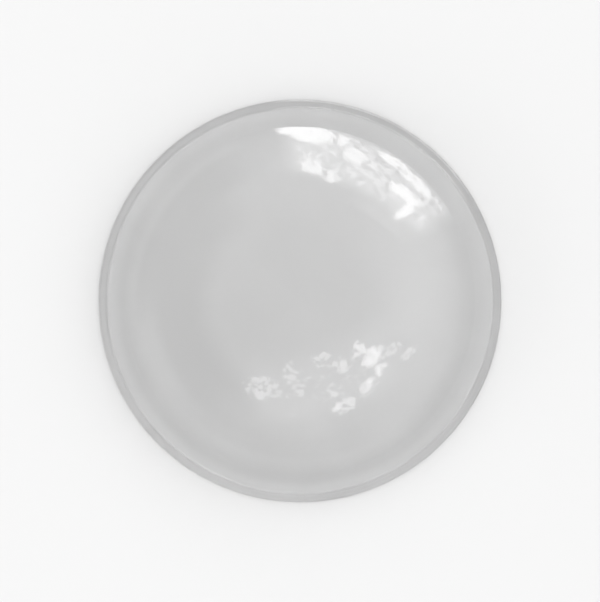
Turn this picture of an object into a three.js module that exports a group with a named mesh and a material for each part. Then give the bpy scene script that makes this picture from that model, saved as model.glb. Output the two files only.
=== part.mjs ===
// Cabinet door bumper: a small clear self-adhesive dome that is stuck inside the
// corner of a door or drawer front, so that it closes softly and quietly.
// It is cast in one piece from soft clear polyurethane. The flat underside is the
// face that sticks to the door.
//
// Units are millimetres. +Z is up, along the dome's axis. The origin is the centre
// of the flat underside, and the underside lies in the plane z = 0.

import * as THREE from 'three';

// ---------------------------------------------------------------- dimensions
const DIAMETER = 12.7;          // across the foot (1/2 in)
const HEIGHT = 3.2;             // underside to crown (1/8 in)

const FOOT_STEP = 0.26;         // width of the narrow ledge round the dome
const FOOT_HEIGHT = 0.28;       // height of that ledge above the underside
const BOTTOM_EDGE_R = 0.06;     // rounding between underside and foot wall
const LEDGE_EDGE_R = 0.10;      // rounding on the ledge's outer top edge
const CREASE_R = 0.06;          // small fillet where the dome rises from the ledge

// The dome's section is z = rise * sqrt(1 - (CROWN_SHARE * q^2 + (1 - CROWN_SHARE) * q^RIM_EXP)),
// with q the radius over the dome's own radius. A share of 1 is a plain ellipse. A
// smaller share is flatter on the crown and fuller towards the rim, as cast resin is.
// The slope passes 45 degrees at 0.86 of the foot's radius.
const CROWN_SHARE = 0.85;
const RIM_EXP = 3.6;

const SEGMENTS = 96;            // facets round the axis
const DOME_STEPS = 18;          // bands from the ledge up to the crown
const ROUND_STEPS = 2;          // facets on each small rounding

// ------------------------------------------------------------------- section
// Half section as (radius, height) points, from the axis on the underside, out
// round the foot, in over the ledge and up the dome to the axis at the crown.
function halfSection() {
  const R = DIAMETER / 2;
  const pts = [new THREE.Vector2(0, 0)];

  // underside edge
  for (let i = 0; i <= ROUND_STEPS; i++) {
    const a = -Math.PI / 2 + (Math.PI / 2) * (i / ROUND_STEPS);
    pts.push(new THREE.Vector2(
      R - BOTTOM_EDGE_R + BOTTOM_EDGE_R * Math.cos(a),
      BOTTOM_EDGE_R + BOTTOM_EDGE_R * Math.sin(a)));
  }

  // foot wall and the ledge's outer edge
  for (let i = 0; i <= ROUND_STEPS; i++) {
    const a = (Math.PI / 2) * (i / ROUND_STEPS);
    pts.push(new THREE.Vector2(
      R - LEDGE_EDGE_R + LEDGE_EDGE_R * Math.cos(a),
      FOOT_HEIGHT - LEDGE_EDGE_R + LEDGE_EDGE_R * Math.sin(a)));
  }

  // fillet in the crease between ledge and dome
  const domeR = R - FOOT_STEP;
  for (let i = 0; i < ROUND_STEPS; i++) {
    const a = (Math.PI / 2) * (i / ROUND_STEPS);
    pts.push(new THREE.Vector2(
      domeR + CREASE_R - CREASE_R * Math.sin(a),
      FOOT_HEIGHT + CREASE_R - CREASE_R * Math.cos(a)));
  }

  // dome: the steps are even in the angle whose sine is q, so that they are short
  // where the rim turns steeply
  const base = FOOT_HEIGHT + CREASE_R;
  const rise = HEIGHT - base;
  for (let i = 0; i < DOME_STEPS; i++) {
    const q = Math.sin((Math.PI / 2) * (1 - i / DOME_STEPS));
    const f = CROWN_SHARE * q * q + (1 - CROWN_SHARE) * Math.pow(q, RIM_EXP);
    pts.push(new THREE.Vector2(domeR * q, base + rise * Math.sqrt(Math.max(0, 1 - f))));
  }
  pts.push(new THREE.Vector2(0, HEIGHT));
  return pts;
}

// --------------------------------------------------------------------- model
const clearPolyurethane = new THREE.MeshStandardMaterial({
  color: 0xd2d3d2,
  roughness: 0.08,
  metalness: 0.0,
  transparent: true,
  opacity: 0.5,
});

const domeGeometry = new THREE.LatheGeometry(halfSection(), SEGMENTS);
domeGeometry.rotateX(Math.PI / 2);   // the lathe's own axis is Y; the bumper's is Z

const bumper = new THREE.Mesh(domeGeometry, clearPolyurethane);
bumper.name = 'bumper_dome';

const part = new THREE.Group();
part.add(bumper);

export default part;
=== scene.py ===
"""Cabinet door bumper: a clear polyurethane dome on its flat underside, seen from
straight above on a pale floor, with a tall soft box to the upper right."""

import math

import bpy
import bmesh
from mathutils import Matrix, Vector


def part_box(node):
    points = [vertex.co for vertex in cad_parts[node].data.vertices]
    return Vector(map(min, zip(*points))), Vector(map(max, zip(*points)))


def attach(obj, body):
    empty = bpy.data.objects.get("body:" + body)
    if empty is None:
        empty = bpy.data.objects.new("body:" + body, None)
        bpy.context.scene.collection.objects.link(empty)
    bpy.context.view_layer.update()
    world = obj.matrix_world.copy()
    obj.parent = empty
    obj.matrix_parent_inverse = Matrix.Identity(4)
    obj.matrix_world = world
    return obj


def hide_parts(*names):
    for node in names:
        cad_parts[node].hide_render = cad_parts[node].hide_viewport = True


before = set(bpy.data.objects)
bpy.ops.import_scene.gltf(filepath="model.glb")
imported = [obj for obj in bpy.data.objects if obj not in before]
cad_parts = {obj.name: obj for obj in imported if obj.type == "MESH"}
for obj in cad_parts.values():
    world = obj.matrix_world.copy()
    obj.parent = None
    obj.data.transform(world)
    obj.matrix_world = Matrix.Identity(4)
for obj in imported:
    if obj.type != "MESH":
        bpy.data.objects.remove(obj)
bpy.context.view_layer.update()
scene = bpy.context.scene
MM = 0.001

# ------------------------------------------------------------------ dimensions, mm
low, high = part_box("bumper_dome")
R = (high.x - low.x) / 2 / MM          # foot radius
H = high.z / MM                        # crown height

FOOT_STEP = 0.26                       # ledge round the dome
FOOT_HEIGHT = 0.28
BOTTOM_EDGE_R = 0.06
LEDGE_EDGE_R = 0.10
CREASE_R = 0.06
CROWN_SHARE = 0.85                     # 1 is a plain ellipse
RIM_EXP = 3.6

SEGMENTS = 384
FLOOR_GAP = 0.02

# ------------------------------------------------------------------------- lights
GLINT = 9.0                            # radiance of the tall soft box as the dome mirrors it
SOFT = 0.35                            # radiance of the same box as it lights the floor
TOP = 8.0                              # radiance of the dappled box near overhead
ROOM, HORIZON = 1.422, 0.85            # the room's own radiance, overhead and at the horizon
FLOOR_GREY = 0.760
UNDER_MID, UNDER_RIM_PAINTED_LIGHT, UNDER_BAND_PAINTED_LIGHT, UNDER_LEDGE_PAINTED_SHADE = 0.795, 0.885, 0.97, 0.88   # paleness of the adhesive, middle out; the rim and band values are painted light, the ledge value painted shade


# ------------------------------------------------------------------------ the dome
def half_section():
    """(radius, height) from the axis on the underside, out and up to the crown."""
    pts = [(r, 0.0) for r in (0.0, 0.5, 1.0, 1.6, 2.2, 2.8, 3.4, 4.0, 4.6, 5.2, 5.7, 6.05)]
    for k in range(7):
        a = -math.pi / 2 + math.pi / 2 * k / 6
        pts.append((R - BOTTOM_EDGE_R + BOTTOM_EDGE_R * math.cos(a), BOTTOM_EDGE_R + BOTTOM_EDGE_R * math.sin(a)))
    for k in range(9):
        a = math.pi / 2 * k / 8
        pts.append((R - LEDGE_EDGE_R + LEDGE_EDGE_R * math.cos(a),
                    FOOT_HEIGHT - LEDGE_EDGE_R + LEDGE_EDGE_R * math.sin(a)))
    dome_r = R - FOOT_STEP
    for k in range(7):
        a = math.pi / 2 * k / 7
        pts.append((dome_r + CREASE_R - CREASE_R * math.sin(a),
                    FOOT_HEIGHT + CREASE_R - CREASE_R * math.cos(a)))
    base = FOOT_HEIGHT + CREASE_R
    rise = H - base
    steps = 84
    for k in range(steps):
        q = math.sin(math.pi / 2 * (1 - k / steps))
        f = CROWN_SHARE * q * q + (1 - CROWN_SHARE) * q ** RIM_EXP
        pts.append((dome_r * q, base + rise * math.sqrt(max(0.0, 1 - f))))
    pts.append((0.0, H))
    return pts


def make_bumper():
    bm = bmesh.new()
    rings = []
    for r, z in half_section():
        if r < 1e-6:
            rings.append([bm.verts.new((0, 0, z * MM))])
        else:
            rings.append([bm.verts.new((r * MM * math.cos(2 * math.pi * i / SEGMENTS),
                                        r * MM * math.sin(2 * math.pi * i / SEGMENTS), z * MM))
                          for i in range(SEGMENTS)])
    for a, b in zip(rings[:-1], rings[1:]):
        for i in range(SEGMENTS):
            j = (i + 1) % SEGMENTS
            if len(a) == 1:
                f = bm.faces.new((a[0], b[j], b[i]))
            elif len(b) == 1:
                f = bm.faces.new((a[i], a[j], b[0]))
            else:
                f = bm.faces.new((a[i], a[j], b[j], b[i]))
            f.smooth = True
            f.material_index = 1 if max(v.co.z for v in f.verts) < 0.04 * MM else 0
    me = bpy.data.meshes.new("bumper")
    bm.normal_update()
    bm.to_mesh(me)
    bm.free()
    ob = bpy.data.objects.new("bumper", me)
    scene.collection.objects.link(ob)
    return ob


bumper = make_bumper()


# -------------------------------------------------------------------- node helpers
def new_material(name):
    m = bpy.data.materials.new(name)
    m.use_nodes = True
    return m, m.node_tree, m.node_tree.nodes["Principled BSDF"]


def feed(nt, socket, v):
    if hasattr(v, "is_output"):
        nt.links.new(v, socket)
    else:
        socket.default_value = v


def op(nt, kind, a, b=None, clamp=False):
    n = nt.nodes.new("ShaderNodeMath")
    n.operation = kind
    n.use_clamp = clamp
    feed(nt, n.inputs[0], a)
    if b is not None:
        feed(nt, n.inputs[1], b)
    return n.outputs[0]


def product(nt, *vals):
    out = vals[0]
    for v in vals[1:]:
        out = op(nt, "MULTIPLY", out, v)
    return out


def noise_tex(nt, vec, scale, detail=2.0, rough=0.5, distortion=0.0):
    n = nt.nodes.new("ShaderNodeTexNoise")
    nt.links.new(vec, n.inputs["Vector"])
    for name, v in (("Scale", scale), ("Detail", detail), ("Roughness", rough), ("Distortion", distortion)):
        n.inputs[name].default_value = v
    return n.outputs["Fac"]


def remap(nt, val, a, b, c=0.0, d=1.0, smooth=True):
    n = nt.nodes.new("ShaderNodeMapRange")
    if smooth:
        n.interpolation_type = "SMOOTHSTEP"
    for s, v in zip(("Value", "From Min", "From Max", "To Min", "To Max"), (val, a, b, c, d)):
        feed(nt, n.inputs[s], v)
    return n.outputs["Result"]


def bell(nt, val, mid, half, soft):
    """1 within half of mid, falling to 0 over a further soft."""
    away = op(nt, "ABSOLUTE", op(nt, "SUBTRACT", val, mid))
    return remap(nt, away, half, half + soft, 1.0, 0.0)


def combine(nt, x, y, z=0.0):
    n = nt.nodes.new("ShaderNodeCombineXYZ")
    for k, v in enumerate((x, y, z)):
        feed(nt, n.inputs[k], v)
    return n.outputs[0]


def split(nt, vec):
    n = nt.nodes.new("ShaderNodeSeparateXYZ")
    nt.links.new(vec, n.inputs[0])
    return n.outputs["X"], n.outputs["Y"], n.outputs["Z"]


# ----------------------------------------------------------------------- materials
# clear polyurethane, with the faint waviness and haze of a cast surface
clear, nt, p = new_material("clear_polyurethane")
p.inputs["Base Color"].default_value = (0.97, 0.97, 0.97, 1)
p.inputs["IOR"].default_value = 1.5
p.inputs["Transmission Weight"].default_value = 1.0
vec = nt.nodes.new("ShaderNodeTexCoord").outputs["Object"]
nt.links.new(remap(nt, noise_tex(nt, vec, 900.0, 3.0), 0.3, 0.7, 0.008, 0.032, False), p.inputs["Roughness"])
height = op(nt, "ADD", noise_tex(nt, vec, 420.0, 2.0), op(nt, "MULTIPLY", noise_tex(nt, vec, 2600.0, 2.0), 0.12))
bump = nt.nodes.new("ShaderNodeBump")
bump.inputs["Strength"].default_value = 0.12
bump.inputs["Distance"].default_value = 0.05 * MM
nt.links.new(height, bump.inputs["Height"])
nt.links.new(bump.outputs["Normal"], p.inputs["Normal"])
bumper.data.materials.append(clear)

# hazy adhesive film on the underside, with a little random mottle in its tone; on top of that, painted light makes
# it paler towards its edge, adds a pale band inside the ledge and lightens it towards the upper right, and painted
# shade darkens the ledge
tack, nt, p = new_material("adhesive_underside")
p.inputs["IOR"].default_value = 1.5
p.inputs["Transmission Weight"].default_value = 0.5
vec = nt.nodes.new("ShaderNodeTexCoord").outputs["Object"]
mottle = noise_tex(nt, vec, 520.0, 4.0, 0.6)
x, y, z = split(nt, vec)
radius = op(nt, "SQRT", op(nt, "ADD", op(nt, "MULTIPLY", x, x), op(nt, "MULTIPLY", y, y)))
toward_lit_side = op(nt, "MULTIPLY", op(nt, "ADD", x, y), 1 / (math.sqrt(2) * R * MM))      # -1 to 1 across the underside, lower left to upper right; sets how much light and shade is painted by side
# base tone, with painted light making it paler from 1.5 mm out to 5.1 mm
base_and_painted_rim_light = remap(nt, radius, 1.5 * MM, 5.1 * MM, UNDER_MID, UNDER_RIM_PAINTED_LIGHT)
# painted light: a pale band rising from 5.05 to 5.4 mm and held out to the ledge
painted_light_band = remap(nt, radius, 5.05 * MM, 5.4 * MM, 0.0, UNDER_BAND_PAINTED_LIGHT - UNDER_RIM_PAINTED_LIGHT)
# painted shade: the ledge darker from 5.8 to 6.05 mm
painted_ledge_shade = remap(nt, radius, 5.8 * MM, 6.05 * MM, 0.0, UNDER_LEDGE_PAINTED_SHADE - UNDER_BAND_PAINTED_LIGHT)
tone_with_painted_light = remap(nt, mottle, 0.3, 0.7, -0.02, 0.02, False)
# adds to the mottled tone: painted light, lighter towards the upper right; the painted band, stronger to the lower
# left; the painted ledge shade, stronger to the upper right
for part in (base_and_painted_rim_light, op(nt, "MULTIPLY", toward_lit_side, 0.034), product(nt, painted_light_band, op(nt, "ADD", 1.0, op(nt, "MULTIPLY", toward_lit_side, -0.5))),
             product(nt, painted_ledge_shade, op(nt, "ADD", 1.0, op(nt, "MULTIPLY", toward_lit_side, 0.9)))):
    tone_with_painted_light = op(nt, "ADD", tone_with_painted_light, part)
nt.links.new(combine(nt, tone_with_painted_light, tone_with_painted_light, tone_with_painted_light), p.inputs["Base Color"])
nt.links.new(remap(nt, mottle, 0.35, 0.65, 0.35, 0.5, False), p.inputs["Roughness"])
bumper.data.materials.append(tack)

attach(bumper, "root")
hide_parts("bumper_dome")

# ----------------------------------------------------------------------- the floor
bm = bmesh.new()
bmesh.ops.create_circle(bm, cap_ends=True, segments=96, radius=3.0)
me = bpy.data.meshes.new("floor")
bm.to_mesh(me)
bm.free()
floor = bpy.data.objects.new("floor", me)
floor.location.z = -FLOOR_GAP * MM
scene.collection.objects.link(floor)
paper, nt, p = new_material("pale_floor")
p.inputs["Base Color"].default_value = (FLOOR_GREY, FLOOR_GREY, FLOOR_GREY, 1)
p.inputs["Roughness"].default_value = 0.9
p.inputs["Specular IOR Level"].default_value = 0.0
floor.data.materials.append(paper)

# ---------------------------------------------------------------------- the room
# Pale all round, with a dim low wall to the right and a dim tall wall to the left.
world = bpy.data.worlds.new("studio")
scene.world = world
world.use_nodes = True
nt = world.node_tree
bg = nt.nodes["Background"]
x, y, z = split(nt, nt.nodes.new("ShaderNodeTexCoord").outputs["Generated"])
zenith = op(nt, "ARCCOSINE", z)


def off(azimuth):
    """Angle round from an azimuth, 0 to pi."""
    a = math.radians(azimuth)
    along = op(nt, "ADD", op(nt, "MULTIPLY", x, math.cos(a)), op(nt, "MULTIPLY", y, math.sin(a)))
    level = op(nt, "SQRT", op(nt, "ADD", op(nt, "MULTIPLY", x, x), op(nt, "MULTIPLY", y, y)))
    return op(nt, "ARCCOSINE", op(nt, "DIVIDE", along, op(nt, "MAXIMUM", level, 1e-4)))


def dim(azimuth, half, soft, mid, tall, fade, depth):
    """1 less the depth of a dim part of the room, all angles in degrees."""
    spot = product(nt, remap(nt, off(azimuth), math.radians(half), math.radians(half + soft), 1.0, 0.0),
                   bell(nt, zenith, math.radians(mid), math.radians(tall), math.radians(fade)))
    return op(nt, "SUBTRACT", 1.0, op(nt, "MULTIPLY", spot, depth))


room = remap(nt, z, 0.0, 0.4, HORIZON, ROOM)
nt.links.new(product(nt, room, dim(20, 48, 32, 84, 10, 12, 0.45), dim(184, 36, 37, 42, 7, 12, 0.98),
                     dim(148, 24, 25, 60, 8, 12, 0.9), dim(262, 25, 25, 58, 4, 10, 0.35)), bg.inputs["Strength"])
bg.inputs["Color"].default_value = (1, 1, 1, 1)


# ------------------------------------------------------------------------- lights
def light(name, width, height, radiance, mirrored_only=False):
    d = bpy.data.lights.new(name, "AREA")
    d.shape = "RECTANGLE"
    d.size, d.size_y = width, height
    d.energy = radiance * math.pi * width * height
    ob = bpy.data.objects.new(name, d)
    scene.collection.objects.link(ob)
    ob.visible_diffuse = ob.visible_transmission = not mirrored_only
    return ob


def aim(ob, azimuth, zenith, distance):
    """Puts a light in a direction from the origin, facing it, its own Y axis upward."""
    a, z = math.radians(azimuth), math.radians(zenith)
    away = Vector((math.cos(a) * math.sin(z), math.sin(a) * math.sin(z), math.cos(z)))
    ob.location = away * distance
    ob.rotation_euler = away.to_track_quat("Z", "Y").to_euler()


def across(ob):
    """Node tree, emission strength and the two coordinates in metres across a light."""
    ob.data.use_nodes = True
    nt = ob.data.node_tree
    u, v, _ = split(nt, nt.nodes.new("ShaderNodeNewGeometry").outputs["Parametric"])
    return nt, nt.nodes["Emission"].inputs["Strength"], op(nt, "MULTIPLY", u, ob.data.size), op(nt, "MULTIPLY", v, ob.data.size_y)


def edges(nt, val, size, fade):
    """1 across a light, falling to 0 at its two edges."""
    return bell(nt, val, size / 2, size / 2 - fade, fade)


def wander(nt, x, y, scale, reach, seed):
    """The two coordinates, each pushed about a little by soft noise."""
    out = []
    for k, c in enumerate((x, y)):
        n = noise_tex(nt, combine(nt, x, y, seed + 5.0 * k), scale, 3.0)
        out.append(op(nt, "ADD", c, op(nt, "MULTIPLY", op(nt, "SUBTRACT", n, 0.5), reach)))
    return out


def gaps(nt, x, y, rows):
    """Where the dapple thins out: soft ellipses of (x, y, half-width, half-height, level)."""
    total = None
    for cx, cy, hw, hh, level in rows:
        dx = op(nt, "DIVIDE", op(nt, "SUBTRACT", x, cx), hw)
        dy = op(nt, "DIVIDE", op(nt, "SUBTRACT", y, cy), hh)
        one = remap(nt, op(nt, "ADD", op(nt, "MULTIPLY", dx, dx), op(nt, "MULTIPLY", dy, dy)), 0.2, 2.2, level, 0.0)
        total = one if total is None else op(nt, "MAXIMUM", total, one)
    return total


def dapple(nt, x, y, cell_x, cell_y, seed, thin, cover):
    """Speckled light: sparse where thin is low, nearly whole where it is 1, none at 0."""
    spot = noise_tex(nt, combine(nt, op(nt, "DIVIDE", x, cell_x), op(nt, "DIVIDE", y, cell_y), seed), 1.0, 3.0, 0.6, 0.3)
    lit = remap(nt, op(nt, "ADD", spot, op(nt, "MULTIPLY", thin, cover)), 0.57, 0.83)
    return product(nt, lit, remap(nt, thin, 0.0, 0.35), remap(nt, thin, 0.2, 1.0, 0.45, 1.0, False))


# A tall upright soft box to the upper right. It is mostly open low down, and dappled
# higher up.
D = 2.0
BOX_AZ, BOX_HALF = 62.0, 39.0
box_lo, box_hi = 0.02 * D, 1.50 * D


def soft_box(name, radiance, mirrored_only):
    ob = light(name, 2 * math.tan(math.radians(BOX_HALF)) * D, box_hi - box_lo, radiance, mirrored_only)
    a = math.radians(BOX_AZ)
    toward = Vector((math.cos(a), math.sin(a), 0))
    ob.location = toward * D + Vector((0, 0, (box_hi + box_lo) / 2))
    ob.rotation_euler = toward.to_track_quat("Z", "Y").to_euler()
    return ob


# azimuth, height over distance, half-width in degrees, half-height, level
OPENINGS = [
    (93.0, 0.12, 4.5, 0.12, 1.0), (86.0, 0.22, 6.5, 0.22, 1.0), (75.0, 0.26, 2.0, 0.18, 0.85), (84.0, 0.96, 5.0, 0.14, 0.85),
    (76.0, 1.06, 3.0, 0.14, 0.8), (70.0, 0.48, 5.0, 0.16, 0.85), (56.0, 0.20, 5.5, 0.10, 0.95), (46.0, 0.26, 7.0, 0.13, 0.9),
    (46.0, 0.62, 5.5, 0.11, 1.0), (40.5, 0.80, 2.3, 0.28, 1.0), (60.0, 0.85, 10.0, 0.22, 0.45),
]


def on_box(azimuth, height, half, tall, level):
    t = math.tan(math.radians(azimuth - BOX_AZ))
    return t, height, 1.15 * math.radians(half) * (1 + t * t), 1.15 * tall, level


glint = soft_box("box_glint", GLINT, True)
nt, strength, x, y = across(glint)
x = op(nt, "SUBTRACT", op(nt, "DIVIDE", x, D), glint.data.size / D / 2)
y = op(nt, "ADD", op(nt, "DIVIDE", y, D), box_lo / D)
wx, wy = wander(nt, x, y, 14.0, 0.10, 2.1)
veil = product(nt, bell(nt, x, 0.0, 0.5, 0.25), bell(nt, y, 0.55, 0.35, 0.4))
thin = op(nt, "MAXIMUM", gaps(nt, wx, wy, [on_box(*row) for row in OPENINGS]), op(nt, "MULTIPLY", veil, 0.50))
haze = product(nt, bell(nt, x, -0.32, 0.14, 0.3), bell(nt, y, 1.12, 0.22, 0.3))
bright = op(nt, "MAXIMUM", dapple(nt, x, y, 0.042, 0.11, 4.4, thin, 0.39), op(nt, "MULTIPLY", veil, 0.27))
nt.links.new(op(nt, "MAXIMUM", bright, op(nt, "MULTIPLY", haze, 0.12)), strength)

soft_box("box_soft", SOFT, False)

# a dimmer dappled box near overhead, to the lower side
GAPS = [
    (0.27, 0.02, 0.065, 0.055, 1.0), (0.20, 0.10, 0.035, 0.042, 0.85), (0.295, -0.08, 0.045, 0.050, 0.9),
    (0.20, -0.155, 0.060, 0.062, 0.8), (0.05, -0.22, 0.070, 0.060, 0.78), (0.10, 0.06, 0.045, 0.055, 0.65),
    (0.01, 0.13, 0.050, 0.050, 0.6), (0.02, -0.08, 0.050, 0.050, 0.6), (-0.15, 0.05, 0.045, 0.130, 0.58), (-0.33, 0.04, 0.110, 0.085, 0.68),
    (0.41, 0.0, 0.055, 0.032, 0.60), (0.53, -0.10, 0.085, 0.036, 0.64),
]
top = light("top_glint", 1.34 * D, 0.74 * D, TOP, True)
aim(top, 288.0, 24.0, D)
nt, strength, x, y = across(top)
x = op(nt, "SUBTRACT", op(nt, "DIVIDE", x, D), 0.67)
y = op(nt, "SUBTRACT", op(nt, "DIVIDE", y, D), 0.37)
wx, wy = wander(nt, x, y, 24.0, 0.05, 6.2)
veil = product(nt, bell(nt, x, -0.02, 0.22, 0.3), bell(nt, y, -0.03, 0.1, 0.22))
thin = op(nt, "MAXIMUM", gaps(nt, wx, wy, GAPS), op(nt, "MULTIPLY", veil, 0.30))
nt.links.new(op(nt, "MAXIMUM", dapple(nt, x, y, 0.030, 0.030, 3.3, thin, 0.30), op(nt, "MULTIPLY", veil, 0.14)), strength)

# fill from the left, which lifts the shadow there and isn't mirrored
fill = light("left_fill", 1.5 * D, 0.9 * D, 0.8)
aim(fill, 180.0, 50.0, D)
fill.visible_glossy = False

# a broad dim glow to the right
glow = light("right_glow", 1.5 * D, 1.0 * D, 0.8, True)
aim(glow, 4.0, 38.0, D)
nt, strength, x, y = across(glow)
nt.links.new(product(nt, edges(nt, x, glow.data.size, 0.7 * D), edges(nt, y, glow.data.size_y, 0.48 * D)), strength)

# -------------------------------------------------------------------------- camera
cam_data = bpy.data.cameras.new("camera")
cam = bpy.data.objects.new("camera", cam_data)
scene.collection.objects.link(cam)
cam_data.sensor_width = 36.0
cam_data.lens = 200.0
SPAN = 19.0                            # mm of the floor across the picture
cam.location = (0, 0, SPAN * MM * cam_data.lens / cam_data.sensor_width)
cam.rotation_euler = (0, 0, 0)         # straight down, +Y up in the picture
cam_data.clip_start = 0.001
scene.camera = cam

# ------------------------------------------------------------------ render quality
scene.view_settings.view_transform = "Standard"
scene.view_settings.look = "None"
scene.cycles.use_denoising = True
scene.cycles.max_bounces = 24
scene.cycles.transmission_bounces = 16
scene.cycles.glossy_bounces = 8
scene.cycles.diffuse_bounces = 6
scene.cycles.sample_clamp_indirect = 10.0
